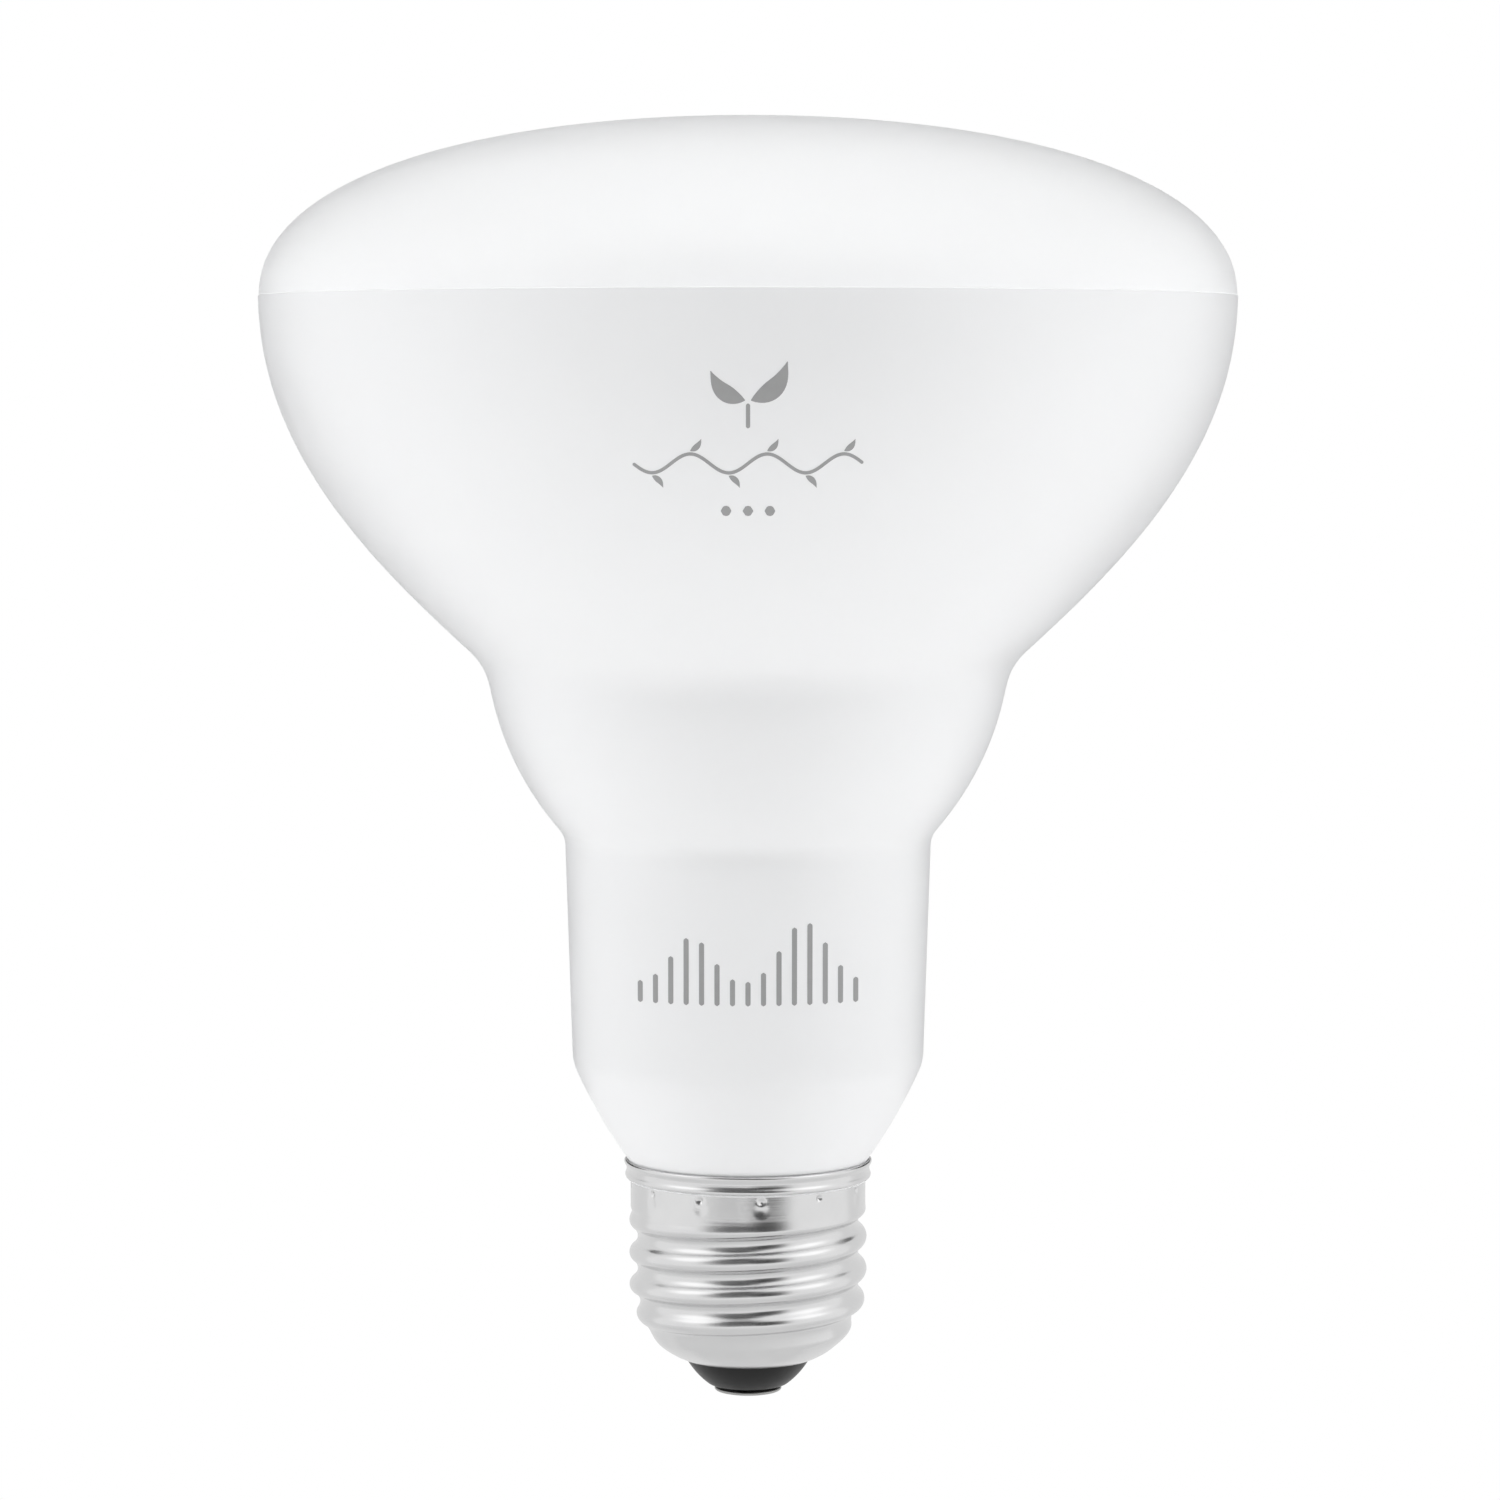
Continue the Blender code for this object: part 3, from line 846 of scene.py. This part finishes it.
def seen_rays(tree):
    """1 for what the camera, reflections and transmission see, and 0 for other rays."""
    path = tree.nodes.new("ShaderNodeLightPath")
    value = path.outputs["Is Camera Ray"]
    for name in ("Is Glossy Ray", "Is Transmission Ray"):
        value = combine(tree, "MAXIMUM", value, path.outputs[name])
    return value


def combine(tree, operation, first, second):
    """The result of this operation on two values."""
    node = tree.nodes.new("ShaderNodeMath")
    node.operation = operation
    tree.links.new(first, node.inputs[0])
    tree.links.new(second, node.inputs[1])
    return node.outputs[0]


def mix_shaders(tree, factor, first, second, output):
    """Sends the first shader to the output at factor 0, and the second at 1."""
    mix = tree.nodes.new("ShaderNodeMixShader")
    tree.links.new(factor, mix.inputs[0])
    tree.links.new(first.outputs[0], mix.inputs[1])
    tree.links.new(second.outputs[0], mix.inputs[2])
    tree.links.new(mix.outputs[0], output.inputs["Surface"])


def add_world():
    """Plain white where it is seen, and a weaker fill for what it lights."""
    world = bpy.data.worlds.new("studio")
    bpy.context.scene.world = world
    world.use_nodes = True
    tree = world.node_tree
    fill = tree.nodes["Background"]
    fill.inputs["Color"].default_value = (1, 1, 1, 1)
    fill.inputs["Strength"].default_value = WORLD_FILL
    white = tree.nodes.new("ShaderNodeBackground")
    white.inputs["Color"].default_value = (1, 1, 1, 1)
    mix_shaders(tree, seen_rays(tree), fill, white, tree.nodes["World Output"])


def add_floor():
    """White where it is seen, with the bulb's shadow near the middle over a painted shadow: the seen
    white is dimmed there, which also darkens the floor in the cap's reflection.
    """
    bm = bmesh.new()
    bmesh.ops.create_grid(bm, x_segments=1, y_segments=1, size=STUDIO_HALF)
    floor = add_object("floor", bm)
    floor.location.z = -FLOOR_DROP
    material, tree, shader, place = new_material("floor_white")
    shader.inputs["Base Color"].default_value = (0.92, 0.92, 0.92, 1)
    shader.inputs["Roughness"].default_value = 0.9
    shader.inputs["Emission Color"].default_value = (1, 1, 1, 1)
    shader.inputs["Emission Strength"].default_value = FLOOR_GLOW
    out = tree.nodes.new("ShaderNodeVectorMath")
    out.operation = "LENGTH"
    tree.links.new(place, out.inputs[0])
    distance = out.outputs["Value"]
    outwards = remap(tree, distance, FLOOR_SHARE, 1.0, *FLOOR_FADE)
    share = combine(tree, "MULTIPLY", seen_rays(tree), outwards)
    white = tree.nodes.new("ShaderNodeEmission")
    # Emission dimmed near the middle: painted shadow under the bulb, also seen in the cap's reflection
    # of the floor
    tree.links.new(remap(tree, distance, FLOOR_PAINTED_SHADOW_WHITE, 1.0, *FLOOR_FADE), white.inputs["Strength"])
    mix_shaders(tree, share, shader, white, tree.nodes["Material Output"])
    floor.data.materials.append(material)


def only_reflected(piece, grey, glow):
    """Hides a piece from all but reflections, and gives it a matt or a glowing face."""
    piece.visible_camera = False
    piece.visible_diffuse = False
    piece.visible_shadow = False
    material, tree, shader, place = new_material(piece.name)
    shader.inputs["Base Color"].default_value = (grey, grey, grey, 1)
    shader.inputs["Roughness"].default_value = 1.0
    shader.inputs["Specular IOR Level"].default_value = 0.0
    shader.inputs["Emission Color"].default_value = (1, 1, 1, 1)
    shader.inputs["Emission Strength"].default_value = glow
    piece.data.materials.append(material)
    return tree, shader, place


def add_card(name, place, target, size, grey, opacity=1.0, glow=0.0):
    """A card that only reflections see, which fades out towards its edges."""
    bm = bmesh.new()
    bmesh.ops.create_grid(bm, x_segments=1, y_segments=1, size=0.5)
    card = add_object(name, bm)
    card.scale = (*size, 1)
    card.location = place
    aim(card, target)
    tree, shader, coordinates = only_reflected(card, grey, glow)
    fade = tree.nodes.new("ShaderNodeTexGradient")
    fade.gradient_type = "SPHERICAL"
    tree.links.new(scaled(tree, coordinates, (2, 2, 2)), fade.inputs["Vector"])
    alpha = remap(tree, fade.outputs["Fac"], 0.0, opacity, 0.0, CARD_FADE_END)
    tree.links.new(alpha, shader.inputs["Alpha"])


def add_collar():
    """A pale half ring behind the cap, so that the metal doesn't show the flags."""
    bm = bmesh.new()
    angles = [math.pi * (0.5 + i / COLLAR_STEPS) for i in range(COLLAR_STEPS + 1)]
    ring = [(COLLAR_RADIUS * math.sin(a), -COLLAR_RADIUS * math.cos(a)) for a in angles]
    lower, upper = ([bm.verts.new((x, y, z)) for x, y in ring] for z in COLLAR_SPAN)
    for i in range(COLLAR_STEPS):
        bm.faces.new((lower[i], lower[i + 1], upper[i + 1], upper[i]))
    only_reflected(add_object("collar", bm), 0.0, COLLAR_GLOW)


def beside(sign, azimuth, distance, height):
    """A place at this azimuth from the front, on the left for sign -1 and on the right for 1."""
    around = math.radians(azimuth)
    return (sign * distance * math.sin(around), -distance * math.cos(around), height)


def add_studio():
    """Softboxes in pairs on either side, and the cards whose reflections shade the edges and the cap."""
    for side, sign in (("left", -1), ("right", 1)):
        for kind, azimuth, elevation, width, watts in SOFTBOXES:
            up = math.radians(elevation)
            height = STUDIO_MIDDLE[2] + SOFTBOX_DISTANCE * math.sin(up)
            place = beside(sign, azimuth, SOFTBOX_DISTANCE * math.cos(up), height)
            add_softbox(f"softbox_{kind}_{side}", place, width, watts)
            if kind == "side":
                name = f"glow_{side}"
                add_card(name, place, STUDIO_MIDDLE, GLOW_CARD_SIZE, 0.0, glow=GLOW_CARD_STRENGTH)
        place = beside(sign, FLAG_AZIMUTH, FLAG_DISTANCE, FLAG_HEIGHT)
        add_card(f"flag_{side}", place, (0, 0, FLAG_HEIGHT), FLAG_SIZE, FLAG_GREY)
    add_collar()
    for card in CARDS:
        add_card(*card)


dome = turn("dome_fine", dome_outline(), BODY_SEGMENTS)
# Light goes through the milky dome to the white tray below it
dome.visible_shadow = False
stand_for(dome, "diffuser", dome_material())
housing = turn("housing_fine", housing_outline(), BODY_SEGMENTS)
stand_for(housing, "housing", housing_material())
line_tray(housing)
shell = add_screw_shell()
stand_for(shell, "screw_shell", shell_material())
insulator = turn("insulator_fine", insulator_outline(), TIP_SEGMENTS)
stand_for(insulator, "base_insulator", insulator_material())
contact = turn("contact_fine", contact_outline(), TIP_SEGMENTS)
stand_for(contact, "centre_contact", contact_material())

ink = ink_material()
add_print("sprout_print", sprout(), ink)
add_print("vine_print", vine(), ink)
add_print("bars_print", bars(), ink)

add_camera()
add_world()
add_floor()
add_studio()
bpy.context.scene.view_settings.view_transform = "Standard"
